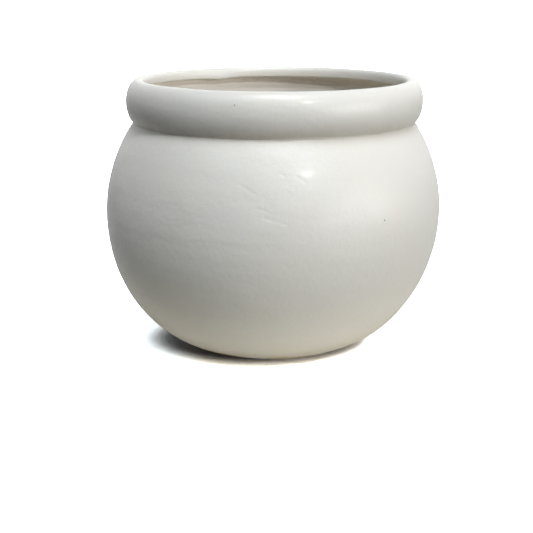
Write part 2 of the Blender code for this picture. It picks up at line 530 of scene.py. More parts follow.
class Shader:
    """The nodes of a material or of the studio's surround."""

    def __init__(self, owner: bpy.types.Material | bpy.types.World) -> None:
        """Takes over a new material or world and empties its node tree.

        Args:
            owner: The material or world.
        """
        owner.use_nodes = True
        self.owner = owner
        self.tree = owner.node_tree
        self.tree.nodes.clear()

    @classmethod
    def named(cls, name: str) -> "Shader":
        """The shader of a new material."""
        return cls(bpy.data.materials.new(name))

    def node(self, kind: str, settings: dict[str, object], sockets: dict[str | int, object]) -> Step:
        """Adds any node.

        Args:
            kind: The node's type.
            settings: Its own properties, which are set before its sockets.
            sockets: The value or the link of each input, by name or number.

        Returns:
            The node, ready to be read from.
        """
        made = self.tree.nodes.new(kind)
        for name, value in settings.items():
            setattr(made, name, value)
        for key, value in sockets.items():
            if isinstance(value, Signal):
                value = value.socket
            if isinstance(value, Link):
                self.tree.links.new(value, made.inputs[key])
            else:
                made.inputs[key].default_value = value
        return Step(self, made)

    def math(self, operation: str, *operands: Signal | float, clamp: bool = False) -> Signal:
        """A Math node of its inputs in order, whose result may be kept between 0 and 1."""
        settings = {"operation": operation, "use_clamp": clamp}
        return self.node("ShaderNodeMath", settings, dict(enumerate(operands))).number("Value")

    def vector(self, operation: str, *operands: object) -> Step:
        """A Vector Math node of vectors, each written or linked."""
        return self.node("ShaderNodeVectorMath", {"operation": operation}, dict(enumerate(operands)))

    def scaled(self, vector: object, factor: Signal | float) -> Link:
        """A vector, written or linked, times a number."""
        sockets = {0: vector, "Scale": factor}
        return self.node("ShaderNodeVectorMath", {"operation": "SCALE"}, sockets).link()

    def place(self) -> Link:
        """Object coordinates, which are the row frame's metres."""
        return self.node("ShaderNodeTexCoord", {}, {}).link("Object")

    def height(self, vector: Link) -> Signal:
        """A vector's z."""
        return self.node("ShaderNodeSeparateXYZ", {}, {"Vector": vector}).number("Z")

    def drawn_out(self, vector: Link, fall: float, share: float) -> Link:
        """A vector whose lengths across the front, along a way fall degrees downwards, shrink to a share."""
        turned = {"Vector": vector, "Rotation": (0.0, -math.radians(fall), 0.0), "Scale": (share, 1.0, 1.0)}
        return self.node("ShaderNodeMapping", {}, turned).link("Vector")

    def mottled(self, vector: Link, mottle: Mottle) -> Step:
        """A noise node, from which a number and a colour leave."""
        sizes = {"Scale": 1.0 / mottle.size, "Detail": mottle.detail, "Roughness": mottle.roughness}
        return self.node("ShaderNodeTexNoise", {}, {"Vector": vector, **sizes})

    def noise(self, vector: Link, mottle: Mottle) -> Signal:
        """Solid noise from 0 to 1, mostly about a half."""
        return self.mottled(vector, mottle).number(0)

    def lines(self, length: Signal, detail: float = 3.0) -> Signal:
        """Noise from 0 to 1 that changes with one number alone."""
        sockets = {"W": length, "Scale": 1.0, "Detail": detail}
        return self.node("ShaderNodeTexNoise", {"noise_dimensions": "1D"}, sockets).number(0)

    def specks(self, vector: Link, specks: Specks) -> Signal:
        """Scattered specks, by the distance to the nearest one's middle.

        Args:
            vector: Where they are read.
            specks: Their sizes.

        Returns:
            1 in a speck and 0 between them.
        """
        sockets = {"Vector": vector, "Scale": 1.0 / specks.spacing, "Randomness": 1.0}
        distance = self.node("ShaderNodeTexVoronoi", {}, sockets).number("Distance")
        share = specks.radius / specks.spacing
        return distance.rising(share, specks.core * share)

    def spot(self, vector: Link, centre: Place, radius: float, core: float = 0.3) -> Signal:
        """1 near a place, up to a core of the radius, and 0 from the radius on."""
        return self.vector("DISTANCE", vector, centre).number("Value").rising(radius, core * radius)

    def stroke(self, vector: Link, start: Place, end: Place, half_width: float) -> Signal:
        """1 on a straight line in space, 0 from half_width on, by the distance to its nearest place.

        Args:
            vector: Where it is read.
            start: One end of the line.
            end: The other end.
            half_width: How far the line fades out.

        Returns:
            The share.
        """
        way = Vector(end) - Vector(start)
        from_start = self.vector("SUBTRACT", vector, start).link()
        along = self.vector("DOT_PRODUCT", from_start, tuple(way / way.length_squared)).number("Value")
        nearest = self.scaled(tuple(way), along.clamped())
        return self.vector("DISTANCE", from_start, nearest).number("Value").rising(half_width, 0.0)

    def attribute(self, name: str) -> Signal:
        """A number that the mesh carries for each vertex."""
        return self.node("ShaderNodeAttribute", {"attribute_name": name}, {}).number("Fac")

    def mix(self, share: Signal | float, first: object, second: object) -> Link:
        """A colour between first and second, each a colour or a colour's link."""
        sockets = {0: share, 6: self.opaque(first), 7: self.opaque(second)}
        return self.node("ShaderNodeMix", {"data_type": "RGBA"}, sockets).link(2)

    def layered(self, ground: object, layers: Iterable[tuple[Signal, Colour]]) -> Link:
        """Colours laid over a ground in order.

        Args:
            ground: The first colour or its link.
            layers: For each colour over it the share that it covers, and the colour.

        Returns:
            The link of the colour that shows.
        """
        for share, colour in layers:
            ground = self.mix(share, ground, colour)
        return ground

    @staticmethod
    def opaque(colour: object) -> object:
        """A written colour with its alpha, or a link as it is."""
        return (*colour, 1.0) if isinstance(colour, tuple) else colour

    def bumped(self, layers: Iterable[tuple[Signal, float]]) -> Link:
        """A normal bent by heights from 0 to 1, one over the other.

        Args:
            layers: For each the height over the surface, and what a height of 1 is in metres.

        Returns:
            The bent normal's link.
        """
        under = {}
        for height, depth in layers:
            sockets = {"Height": height, "Distance": depth, "Strength": 1.0, **under}
            under = {"Normal": self.node("ShaderNodeBump", {}, sockets).link("Normal")}
        return under["Normal"]

    def two_faced(self, kind: str, lit: object, seen: object, mirrored: bool = False) -> Link:
        """A shader of one kind in two colours: one that lights the pot and one that the camera sees.

        Args:
            kind: The shader's node type.
            lit: The colour that the pot's light comes from.
            seen: The colour in the picture.
            mirrored: Whether the pot's shine shows the second colour too.

        Returns:
            The shader's link.
        """
        path = self.node("ShaderNodeLightPath", {}, {})
        share = path.number("Is Camera Ray")
        if mirrored:
            share = share | path.number("Is Glossy Ray")
        faces = [self.node(kind, {}, {"Color": self.opaque(colour)}).link() for colour in (lit, seen)]
        return self.node("ShaderNodeMixShader", {}, {0: share, 1: faces[0], 2: faces[1]}).link("Shader")

    def end(self, surface: Link, output: str = "ShaderNodeOutputMaterial") -> bpy.types.ID:
        """Sends a surface to the output and returns the material or the world."""
        self.node(output, {}, {"Surface": surface})
        return self.owner

    def finish(self, sockets: dict[str, object]) -> bpy.types.ID:
        """Ends the tree in a Principled shader with those sockets and returns the material."""
        return self.end(self.node("ShaderNodeBsdfPrincipled", {}, sockets).link("BSDF"))


@dataclass(frozen=True)
class SatinGlaze:
    """An off-white satin glaze: faintly clouded, grainy, warmer where it is thin, with a few pinholes.

    Its pits are round holes, each a place and a radius, and its dents are short shallow strokes, each two
    places and a half width.
    """

    pits: tuple[tuple[Place, float], ...]
    dents: tuple[tuple[Place, Place, float], ...]
    cool: Colour = (0.800, 0.800, 0.760)
    warm: Colour = (0.815, 0.800, 0.740)
    dusty: Colour = (0.720, 0.705, 0.650)
    # darker where the glaze pools in the crease, and also painted shade up the roll's shaded underside
    pooled_and_shaded: Colour = (0.640, 0.610, 0.540)
    thin: Colour = (0.640, 0.560, 0.400)
    hole: Colour = (0.060, 0.050, 0.045)
    cloud: Mottle = Mottle(0.085, 2.0)
    cloud_contrast: float = 1.6
    patch: Mottle = Mottle(0.022)
    patch_contrast: float = 0.7
    grain: Mottle = Mottle(0.0028, 4.0, 0.6)
    dust_cover: float = 1.4
    pool_and_shade_cover: float = 0.45
    thin_cover: float = 1.5
    thin_unevenness: float = 1.3
    thin_from: float = 0.35
    thin_full: float = 1.1
    pinholes: Specks = Specks(0.034, 0.00060)
    hole_cover: float = 0.85
    roughness: float = 0.42
    patch_roughness: float = 0.14
    grain_roughness: float = 0.08
    thin_roughness: float = 0.25
    coat: float = 0.08
    rim_coat: float = 0.15
    pooled_coat: float = 0.10
    coat_roughness: float = 0.15
    swell: Mottle = Mottle(0.030, 2.0, 0.45)
    swell_depth: float = 0.00040
    smear: Mottle = Mottle(0.0085, 2.0)
    smear_fall: float = 32.0
    smear_share: float = 0.28
    smear_depth: float = 0.00015
    peel: Mottle = Mottle(0.0062, 2.0)
    peel_depth: float = 0.00024
    grain_depth: float = 0.00009
    pit_depth: float = 0.00050
    dent_depth: float = 0.00013
    wander: Mottle = Mottle(0.0038, 2.0)
    wander_reach: float = 0.0030

    def material(self) -> bpy.types.Material:
        """Builds the glaze's material.

        Returns:
            The material.
        """
        shader = Shader.named("satin_glaze")
        place = shader.place()
        cloud, patch = shader.noise(place, self.cloud), shader.noise(place, self.patch)
        grain = shader.noise(place, self.grain)
        holes = self.holes(shader, place)
        warm = (cloud.swing(self.cloud_contrast) + patch.swing(self.patch_contrast) + 0.5).clamped()
        dusty = (abs(grain - 0.5) * self.dust_cover).clamped()
        # the pool of glaze in the crease, which up the roll's underside is painted shade
        pooled_and_shaded = (shader.attribute("pooled_and_shaded") * (patch + self.pool_and_shade_cover)).clamped()
        thinned = shader.attribute("thinned") * self.thin_cover + patch.swing(self.thin_unevenness)
        thinned = thinned.rising(self.thin_from, self.thin_full)
        layers = [
            (warm, self.warm),
            (dusty, self.dusty),
            (pooled_and_shaded, self.pooled_and_shaded),
            (thinned, self.thin),
            (holes * self.hole_cover, self.hole),
        ]
        uneven = patch.swing(self.patch_roughness) + grain.swing(self.grain_roughness)
        coat = self.coat + shader.attribute("dipped") * self.rim_coat + pooled_and_shaded * self.pooled_coat
        return shader.finish(
            {
                "Base Color": shader.layered(self.cool, layers),
                "Roughness": (self.roughness + uneven + thinned * self.thin_roughness).clamped(),
                "Normal": self.relief(shader, place, grain, holes),
                "Coat Weight": coat.clamped(),
                "Coat Roughness": self.coat_roughness,
            }
        )

    def holes(self, shader: Shader, place: Link) -> Signal:
        """The pits and some scattered pinholes.

        Args:
            shader: The material's shader.
            place: Object coordinates.

        Returns:
            1 inside them and 0 outside.
        """
        total = shader.specks(place, self.pinholes)
        for centre, radius in self.pits:
            total = total | shader.spot(place, centre, radius)
        return total

    def relief(self, shader: Shader, place: Link, grain: Signal, holes: Signal) -> Link:
        """The bent normal: slow swells, slanting smears of the hand, orange peel, grain, pits and dents.

        Args:
            shader: The material's shader.
            place: Object coordinates.
            grain: The noise that also shades the colour.
            holes: 1 inside the pits.

        Returns:
            The normal's link.
        """
        slanting = shader.drawn_out(place, self.smear_fall, self.smear_share)
        crooked = self.crooked(shader, place)
        layers = [
            (shader.noise(place, self.swell), self.swell_depth),
            (shader.noise(slanting, self.smear), self.smear_depth),
            (shader.noise(place, self.peel), self.peel_depth),
            (grain, self.grain_depth),
            (1.0 - holes, self.pit_depth),
        ]
        dents = [(1.0 - shader.stroke(crooked, *dent), self.dent_depth) for dent in self.dents]
        return shader.bumped(layers + dents)

    def crooked(self, shader: Shader, place: Link) -> Link:
        """Places shifted a little by noise, in which straight strokes come out crooked.

        Args:
            shader: The material's shader.
            place: Object coordinates.

        Returns:
            The shifted places' link.
        """
        noise = shader.mottled(place, self.wander).link("Color")
        aside = shader.vector("SUBTRACT", noise, (0.5, 0.5, 0.5)).link()
        return shader.vector("ADD", place, shader.scaled(aside, self.wander_reach)).link()


@dataclass(frozen=True)
class WashAndPaintedLight:
    """A thin pale wash over bare clay, uneven above and fading out below; on the rim, also painted light."""

    # on the rim the top edge lies on the lip's shadow line, and the pale clay under it is painted light
    colour: Colour
    top: float
    bottom: float
    patch: Mottle = Mottle(0.012)
    edge: float = 0.0012
    edge_unevenness: float = 0.0030
    fade: float = 0.030
    fade_unevenness: float = 0.045
    least_cover: float = 0.75
    grain_cover: float = 0.3

    def share(self, shader: Shader, place: Link, grain: Signal) -> Signal:
        """How much of the wash covers the clay, from 0 to 1.

        Args:
            shader: The clay's shader.
            place: Object coordinates.
            grain: The clay's grain, which the wash lies thicker and thinner on.

        Returns:
            The share.
        """
        height, patch = shader.height(place), shader.noise(place, self.patch)
        at_edge = height + patch.swing(self.edge_unevenness)
        below_top = at_edge.rising(self.top + self.edge, self.top - self.edge)
        fading = height + patch.swing(self.fade_unevenness)
        above_bottom = fading.rising(self.bottom, self.bottom + self.fade)
        return below_top * above_bottom * (grain * self.grain_cover + self.least_cover).clamped()


@dataclass(frozen=True)
class RawClay:
    """Fired clay without glaze: warm, grainy, with grog and iron specks, and streaked by the turning hand."""

    name: str
    light: Colour
    dark: Colour
    grog: Colour
    iron: Colour = (0.150, 0.085, 0.050)
    # a pale wash, which on the rim is also painted light for sunlit clay
    wash_and_painted_light: WashAndPaintedLight | None = None
    patch: Mottle = Mottle(0.050)
    patch_contrast: float = 1.5
    streaks_per_metre: float = 380.0
    streak_contrast: float = 0.70
    streak_bend: float = 1.1
    grain: Mottle = Mottle(0.0022, 5.0, 0.65)
    grain_contrast: float = 0.9
    grog_specks: Specks = Specks(0.0052, 0.00055)
    grog_cover: float = 0.55
    grog_rise: float = 0.4
    iron_specks: Specks = Specks(0.0110, 0.00050)
    iron_cover: float = 0.65
    iron_fall: float = 0.5
    roughness: float = 0.86
    grain_roughness: float = 0.12
    depth: float = 0.00016

    def material(self) -> bpy.types.Material:
        """Builds the clay's material.

        Returns:
            The material.
        """
        shader = Shader.named(self.name)
        place = shader.place()
        patch, grain = shader.noise(place, self.patch), shader.noise(place, self.grain)
        lines = shader.lines(shader.attribute("along") * self.streaks_per_metre + patch * self.streak_bend)
        grog, iron = shader.specks(place, self.grog_specks), shader.specks(place, self.iron_specks)
        shade = patch.swing(self.patch_contrast) + lines.swing(self.streak_contrast)
        shade = (shade + grain.swing(self.grain_contrast) + 0.5).clamped()
        layers = [(shade, self.light), (grog * self.grog_cover, self.grog)]
        if self.wash_and_painted_light is not None:
            layers.append((self.wash_and_painted_light.share(shader, place, grain), self.wash_and_painted_light.colour))
        layers.append((iron * self.iron_cover, self.iron))
        grains = grain + grog * self.grog_rise - iron * self.iron_fall
        return shader.finish(
            {
                "Base Color": shader.layered(self.dark, layers),
                "Roughness": (self.roughness + grain.swing(self.grain_roughness)).clamped(),
                "Normal": shader.bumped([(lines, self.depth), (grains, self.depth)]),
            }
        )


@dataclass(frozen=True)
class PaleFloor:
    """A plain floor: pale and a little warm to the pot, and white to the camera but for the pot's shadow.

    The camera sees it darker within an oval patch under the pot, where the belly hides the lamps, so that
    the contact shadow is deep at the foot and fades out softly. The oval's depth is shade_oval of its width.
    """

    near: Colour = (0.84, 0.79, 0.68)
    far: Colour = (0.04, 0.04, 0.04)
    near_reach: float = 0.12
    far_reach: float = 0.38
    seen: Colour = (5.7, 6.0, 6.4)
    mirrored: Colour = (0.90, 0.89, 0.86)
    shaded: Colour = (0.50, 0.52, 0.60)
    shade_centre: Place = (-0.013, 0.011, 0.0)
    shade_oval: float = 0.74
    shade_reach: float = 0.070
    open_reach: float = 0.108

    def material(self) -> bpy.types.Material:
        """Builds the floor's material, whose two colours change with the distance from the pot.

        Returns:
            The material.
        """
        shader = Shader.named("pale_floor")
        place = shader.place()
        away = shader.vector("LENGTH", place).number("Value")
        shine = shader.node("ShaderNodeLightPath", {}, {}).number("Is Glossy Ray")
        far = shader.mix(shine, self.far, self.mirrored)
        lit = shader.mix(away.rising(self.near_reach, self.far_reach), self.near, far)
        from_centre = shader.vector("SUBTRACT", place, self.shade_centre).link()
        rounded = shader.vector("MULTIPLY", from_centre, (self.shade_oval, 1.0, 1.0)).link()
        clear = shader.vector("LENGTH", rounded).number("Value").rising(self.shade_reach, self.open_reach)
        seen = shader.mix(clear * clear, self.shaded, self.seen)
        return shader.end(shader.two_faced("ShaderNodeBsdfDiffuse", lit, seen))


@dataclass(frozen=True)
class Sheet:
    """A turned outline before it is a mesh: one row for each outline point, one column for each angle."""

    radius: np.ndarray
    height: np.ndarray
    normal: np.ndarray
    along: np.ndarray
    angle: np.ndarray

    @classmethod
    def turned(cls, outline: np.ndarray, columns: int) -> "Sheet":
        """Sets out a closed outline's rows and the columns of its turn.

        Args:
            outline: (radius, height) rows; the last joins the first.
            columns: How many angles there are.

        Returns:
            The sheet, whose normals point out of the outline.
        """
        before, after = np.roll(outline, 1, axis=0), np.roll(outline, -1, axis=0)
        travel = after - before
        travel /= np.linalg.norm(travel, axis=-1, keepdims=True)
        area = 0.5 * np.sum(outline[:, 0] * after[:, 1] - after[:, 0] * outline[:, 1])
        normal = math.copysign(1.0, area) * paired(travel[:, 1], -travel[:, 0])
        along = np.concatenate([[0.0], np.cumsum(np.linalg.norm(np.diff(outline, axis=0), axis=-1))])
        angle = np.arange(columns) * (math.tau / columns)
        return cls(outline[:, 0, None], outline[:, 1, None], normal, along[:, None], angle[None, :])

    def along_at(self, place: Point) -> float:
        """The length along the outline at the row nearest to a radius and height."""
        apart = np.hypot(self.radius - place[0], self.height - place[1])
        return float(self.along[np.argmin(apart), 0])

    def points(self, relief: np.ndarray | float = 0.0) -> np.ndarray:
        """The sheet's places in space: radius and height plus relief times the normal, turned by the angle.

        Args:
            relief: How far the surface stands out, once for all or for each row and column.

        Returns:
            A (rows, columns, 3) array.
        """
        radius = self.radius + relief * self.normal[:, :1]
        height = self.height + relief * self.normal[:, 1:]
        x, y, z = np.broadcast_arrays(radius * np.cos(self.angle), radius * np.sin(self.angle), height)
        return np.stack([x, y, z], axis=-1)


def ring_mesh(name: str, points: np.ndarray, numbers: dict[str, np.ndarray]) -> bpy.types.Mesh:
    """Joins a (rows, columns) grid of points into quads, closed both ways, like a ring's skin.

    Args:
        name: The mesh's name.
        points: (rows, columns, 3) places.
        numbers: For each attribute a (rows, columns) array.

    Returns:
        A smooth mesh whose faces point outwards.
    """
    rows, columns = points.shape[:2]
    index = np.arange(rows * columns).reshape(rows, columns)
    right, below = np.roll(index, -1, axis=1), np.roll(index, -1, axis=0)
    faces = np.stack([index, right, np.roll(right, -1, axis=0), below], axis=-1).reshape(-1, 4)
    flat = points.reshape(-1, 3)
    a, b, c = flat[faces[:, 0]], flat[faces[:, 1]], flat[faces[:, 2]]
    if np.einsum("ij,ij->", a, np.cross(b, c)) < 0:
        faces = faces[:, ::-1]
    mesh = bpy.data.meshes.new(name)
    mesh.vertices.add(len(flat))
    mesh.vertices.foreach_set("co", flat.astype(np.float32).ravel())
    mesh.loops.add(faces.size)
    mesh.loops.foreach_set("vertex_index", faces.astype(np.int32).ravel())
    mesh.polygons.add(len(faces))
    mesh.polygons.foreach_set("loop_start", np.arange(0, faces.size, 4, dtype=np.int32))
    mesh.update(calc_edges=True)
    for key, values in numbers.items():
        spread = np.broadcast_to(values, (rows, columns)).astype(np.float32)
        mesh.attributes.new(key, "FLOAT", "POINT").data.foreach_set("value", spread.ravel())
    mesh.shade_smooth()
    return mesh


@dataclass(frozen=True)
class TurnedPiece:
    """A piece of the pot, which its subclasses give an outline, a relief and its clay or other finish."""

    form: PotForm
    hand: Hand
    name: str
    node: str
    slot: Slot
    columns: int

    def outline(self) -> np.ndarray:
        """The closed outline as (radius, height) rows."""
        raise NotImplementedError

    def relief(self, sheet: Sheet) -> np.ndarray | float:
        """How far the surface stands out at each row and column."""
        raise NotImplementedError

    def numbers(self, sheet: Sheet) -> dict[str, np.ndarray]:
        """What the mesh carries for its material: the length along the outline."""
        return {"along": sheet.along}

    def clay(self) -> RawClay:
        """The clay that the piece shows."""
        raise NotImplementedError

    def finish(self) -> bpy.types.Material:
        """The piece's material, which is its clay where nothing covers it."""
        return self.clay().material()

    def build(self) -> bpy.types.Object:
        """Makes the piece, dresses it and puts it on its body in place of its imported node.

        Returns:
            The piece.
        """
        sheet = Sheet.turned(self.outline(), self.columns)
        points = self.hand.bend(sheet.points(self.relief(sheet)))
        mesh = ring_mesh(self.name, points, self.numbers(sheet))
        mesh.materials.append(self.finish())
        piece = placed(self.name, mesh)
        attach(piece, "root")
        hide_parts(self.node)
        return piece


@dataclass(frozen=True)
class Pit:
    """A round hole in the glaze, at an angle in degrees and a height."""

    angle: float
    height: float
    radius: float


@dataclass(frozen=True)
class Dent:
    """A short shallow drag mark in the glaze, between two places that are each an angle and a height."""

    start: Point
    end: Point
    half_width: float = 0.0031


@dataclass(frozen=True)
class GlazeSkin(TurnedPiece):
    """The satin glaze, from under the lip's edge, over the rim and the crease, down to near the foot."""

    name: str = "glaze_skin"
    node: str = "glaze_coat"
    slot: Slot = Slot.SATIN_GLAZE
    columns: int = 400
    outer_rows: int = 196
    inner_rows: int = 34
    inner_turn_length: float = 0.003
    edge_taper: float = 0.0026
    sunk_depth: float = 0.0003
    lip_wrap: float = 284.0
    ripple_pitch: float = 0.0170
    ripple_height: float = 0.00003
    smooth_below: float = 0.020
    rippled_above: float = 0.060
    swell: Waves = Waves(seed=11, wavelength=0.100, height=0.00022)
    dimple: Waves = Waves(seed=12, wavelength=0.030, height=0.00006, count=32)
    edge_run: Waves = Waves(seed=13, wavelength=0.050, height=0.0030)
    # the pool's darkening reaches up the roll's underside, where it is painted shade
    pool_and_shade_rise: float = 0.0050
    pool_and_shade_width: float = 0.0100
    thin_width: float = 0.0100
    lip_edge_half: float = 0.0010
    dip_edge: float = 0.0060
    pits: tuple[Pit, ...] = (
        Pit(-15.3, 0.2614, 0.0019),
        Pit(-21.1, 0.2612, 0.0012),
        Pit(-12.1, 0.2570, 0.0009),
        Pit(-104.4, 0.2956, 0.0010),
        Pit(-53.2, 0.1772, 0.0012),
    )
    dents: tuple[Dent, ...] = (
        Dent((-101.0, 0.2184), (-96.2, 0.2102)),
        Dent((-95.6, 0.1962), (-92.4, 0.1937)),
        Dent((-92.9, 0.1870), (-85.9, 0.1804)),
        Dent((-88.6, 0.2292), (-87.0, 0.2276)),
        Dent((-82.6, 0.2262), (-80.2, 0.2214)),
    )

    def side(self) -> np.ndarray:
        """The open outline of the glazed surface, as (radius, height) rows."""
        edge = self.form.lip_edge(self.lip_wrap, 180.0)
        return np.concatenate([edge[:-1], self.form.lip_face()[:-1], self.form.outside(self.form.glaze_stop)])

    def outline(self) -> np.ndarray:
        """The surface, thinned at both ends, and back along the clay.

        The glaze's edges are round: within edge_taper of an end the surface sinks like a quarter ellipse.

        Returns:
            An array of (radius, height) rows.
        """
        outer = respaced(self.side(), self.outer_rows)
        inner = respaced(self.side(), self.inner_rows, self.inner_turn_length)
        length = np.concatenate([[0.0], np.cumsum(np.linalg.norm(np.diff(outer, axis=0), axis=-1))])
        to_end = np.minimum(length, length[-1] - length)
        share = np.clip(1.0 - to_end / self.edge_taper, 0.0, 1.0)
        outer = sunk(outer, self.form.glaze * (1.0 - np.sqrt(1.0 - share**2)))
        inner = sunk(inner, self.form.glaze + self.sunk_depth)
        return np.concatenate([outer, inner[::-1]])

    def relief(self, sheet: Sheet) -> np.ndarray:
        """Faint throwing ripples in a spiral, swells and dimples, on the outer face alone.

        A ripple is the sine of the height over ripple_pitch plus the angle.

        Args:
            sheet: The turned outline.

        Returns:
            How far the surface stands out at each row and column.
        """
        points = sheet.points()
        spiral = np.sin(math.tau * sheet.height / self.ripple_pitch + sheet.angle)
        rippled = smooth_step(sheet.height, self.smooth_below, self.rippled_above)
        ripples = self.ripple_height * spiral * rippled
        outer = np.arange(len(sheet.radius))[:, None] < self.outer_rows
        return np.where(outer, ripples + self.swell.at(points) + self.dimple.at(points), 0.0)

    def numbers(self, sheet: Sheet) -> dict[str, np.ndarray]:
        """Where the glaze pools in the crease, is thinned at its edges and was dipped twice, from 0 to 1.

        The pool is a bell curve of the distance from the crease, and up the roll's underside its darkening is
        painted shade. The lower edge thins in a smooth step along an uneven line, the lip's edge in one
        across the radius, and the second dip ends in one on the roll.

        Args:
            sheet: The turned outline.

        Returns:
            For each name a number for each row, or for each row and column.
        """
        form = self.form
        crease_radius = float(form.belly(np.array(form.joint_height)))
        pool_height = form.joint_height + self.pool_and_shade_rise
        apart = np.hypot(sheet.radius - crease_radius, sheet.height - pool_height)
        run = self.edge_run.at(sheet.points())
        low_edge = 1.0 - smooth_step(sheet.height - run, form.glaze_stop, form.glaze_stop + self.thin_width)
        lip_radius, lip_height = form.lip_centre
        lip_edge = smooth_step(sheet.radius, lip_radius - self.lip_edge_half, lip_radius + self.lip_edge_half)
        lip_edge = lip_edge * (sheet.radius < form.roll_radius)
        lip_edge = lip_edge * (np.abs(sheet.height - lip_height + form.lip_round) < form.lip_round)
        return {
            "pooled_and_shaded": np.exp(-((apart / self.pool_and_shade_width) ** 2)),
            "thinned": np.maximum(low_edge, lip_edge),
            "dipped": smooth_step(sheet.height, form.roll_height, form.roll_height + self.dip_edge),
        }

    def place_of(self, angle: float, height: float) -> Place:
        """Where the glazed outside is, bent by the hand, at an angle in degrees and a height."""
        return tuple(float(value) for value in self.hand.bend(self.form.on_outside(angle, height)))

    def finish(self) -> bpy.types.Material:
        """The satin glaze with this pot's own pits and dents.

        Returns:
            The material.
        """
        pits = tuple((self.place_of(pit.angle, pit.height), pit.radius) for pit in self.pits)
        dents = tuple(
            (self.place_of(*dent.start), self.place_of(*dent.end), dent.half_width) for dent in self.dents
        )
        return SatinGlaze(pits, dents).material()


@dataclass(frozen=True)
class ThrownBelly(TurnedPiece):
    """The belly's wall and floor, bare inside, with its drain hole and a flat trimmed underside."""

    name: str = "thrown_belly"
    node: str = "body"
    slot: Slot = Slot.BARE_CLAY
    columns: int = 288
    outer_rows: int = 60
    under_rows: int = 40
    drain_rows: int = 8
    floor_rows: int = 60
    wall_rows: int = 168
    base_edge: float = 0.0020
    drain_edge: float = 0.0030
    floor_corner: float = 0.0110
    corner_rise: float = 0.0060
    corner_end: float = -8.0
    ring_pitch: float = 0.0088
    ring_height: float = 0.00030
    ring_start: float = 0.012
    crowding: float = 0.35
    crowding_pace: float = 31.0
    softening: float = 0.75
    soft_from: float = 0.19
    softest_at: float = 0.25
    joint_fade: float = 0.012
    joint_clear: float = 0.002
    swell: Waves = Waves(seed=21, wavelength=0.060, height=0.00035)
    wash_above: float = 0.050
    wash_below: float = 0.200

    def outline(self) -> np.ndarray:
        """Down the outside, in along the underside, up the drain hole, out over the floor and up the wall.

        Both sides of the wall are the glazed outline, sunk by the glaze and by the glaze and the wall. The
        drain hole's rims are quarter circles, and a quarter ellipse joins the floor to the wall.

        Returns:
            An array of (radius, height) rows.
        """
        form = self.form
        joint = form.joint_height - form.joint_gap
        side = form.outside(form.base_height)
        outer = sunk(side[side[:, 1] < joint], form.glaze)
        outer = outer[outer[:, 1] > form.base_height + self.base_edge / 2]
        edge = outer[-1, 0]
        hole, drain = form.drain_radius, self.drain_edge
        low, high = form.base_height, form.floor_height
        under = np.array([[edge - self.base_edge, low], [hole + drain, low]])
        mouth = ellipse((hole + drain, low + drain), drain, drain, 270.0, 180.0)
        well = ellipse((hole + drain, high - drain), drain, drain, 180.0, 90.0)
        inner = sunk(side[side[:, 1] < joint], form.glaze + form.wall)[::-1]
        inner = inner[inner[:, 1] > high + self.corner_rise]
        turn = (inner[0, 0] - self.floor_corner, inner[0, 1])
        corner = ellipse(turn, self.floor_corner, turn[1] - high, -90.0, self.corner_end)
        floor = np.array([[hole + drain, high], [corner[0, 0], high]])
        return np.concatenate(
            [
                respaced(outer, self.outer_rows),
                respaced(under, self.under_rows)[:-1],
                respaced(mouth, self.drain_rows),
                respaced(well, self.drain_rows)[:-1],
                respaced(floor, self.floor_rows)[:-1],
                respaced(np.concatenate([corner, inner]), self.wall_rows),
            ]
        )

    def relief(self, sheet: Sheet) -> np.ndarray:
        """Finger rings that climb the inside in a spiral, softer towards the neck, and slow swells.

        A ring is the sine of the length along the outline over ring_pitch plus the angle. A second, slower
        sine of that length makes the rings higher and lower by turns.

        Args:
            sheet: The turned outline.

        Returns:
            How far the surface stands out at each row and column.
        """
        start = sheet.along_at((self.form.drain_radius + self.drain_edge, self.form.floor_height))
        inside = smooth_step(sheet.along, start, start + self.ring_start)
        crowded = 1.0 + self.crowding * np.sin(sheet.along * self.crowding_pace)
        spiral = np.sin(math.tau * sheet.along / self.ring_pitch + sheet.angle)
        softer = 1.0 - self.softening * smooth_step(sheet.height, self.soft_from, self.softest_at)
        joint = self.form.joint_height
        free = 1.0 - smooth_step(sheet.height, joint - self.joint_fade, joint - self.joint_clear)
        rings = self.ring_height * crowded * spiral * softer
        return (rings + self.swell.at(sheet.points())) * inside * free

    def clay(self) -> RawClay:
        """Warm bare clay, washed pale around the neck and deep into the belly."""
        joint = self.form.joint_height
        return RawClay(
            name="bare_clay",
            light=(0.810, 0.740, 0.630),
            dark=(0.700, 0.620, 0.500),
            grog=(0.850, 0.800, 0.710),
            wash_and_painted_light=WashAndPaintedLight(PALE_WASH_AND_PAINTED_LIGHT, joint + self.wash_above, joint - self.wash_below),
        )


